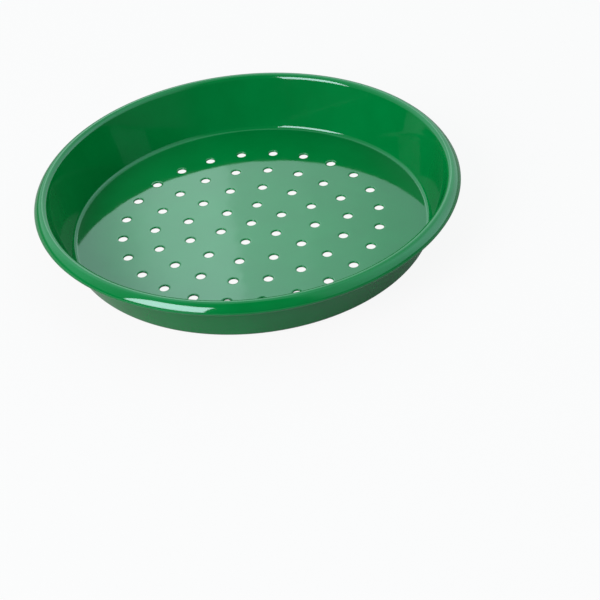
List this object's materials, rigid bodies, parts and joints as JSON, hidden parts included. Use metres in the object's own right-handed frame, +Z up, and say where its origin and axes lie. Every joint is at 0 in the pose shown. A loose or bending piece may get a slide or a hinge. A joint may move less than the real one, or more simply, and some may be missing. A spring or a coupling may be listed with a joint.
{
  "type": "sand sieve",
  "caption": "Shallow round sand sieve pressed from sheet steel, with a punched flat floor, a flaring wall and a rolled rim, in glossy green enamel.",
  "frame": {"origin": "on the axis, in the plane of the underside that the sieve rests on", "axes": "+Z up along the axis, out of the open top; +Y from the middle hole towards the first hole of every ring"},
  "size_m": [0.2, 0.2, 0.0272],
  "materials": {
    "enamel": "high-gloss enamel"
  },
  "bodies": {
    "root": {"sieve_pan": "enamel"}
  },
  "joints": []
}
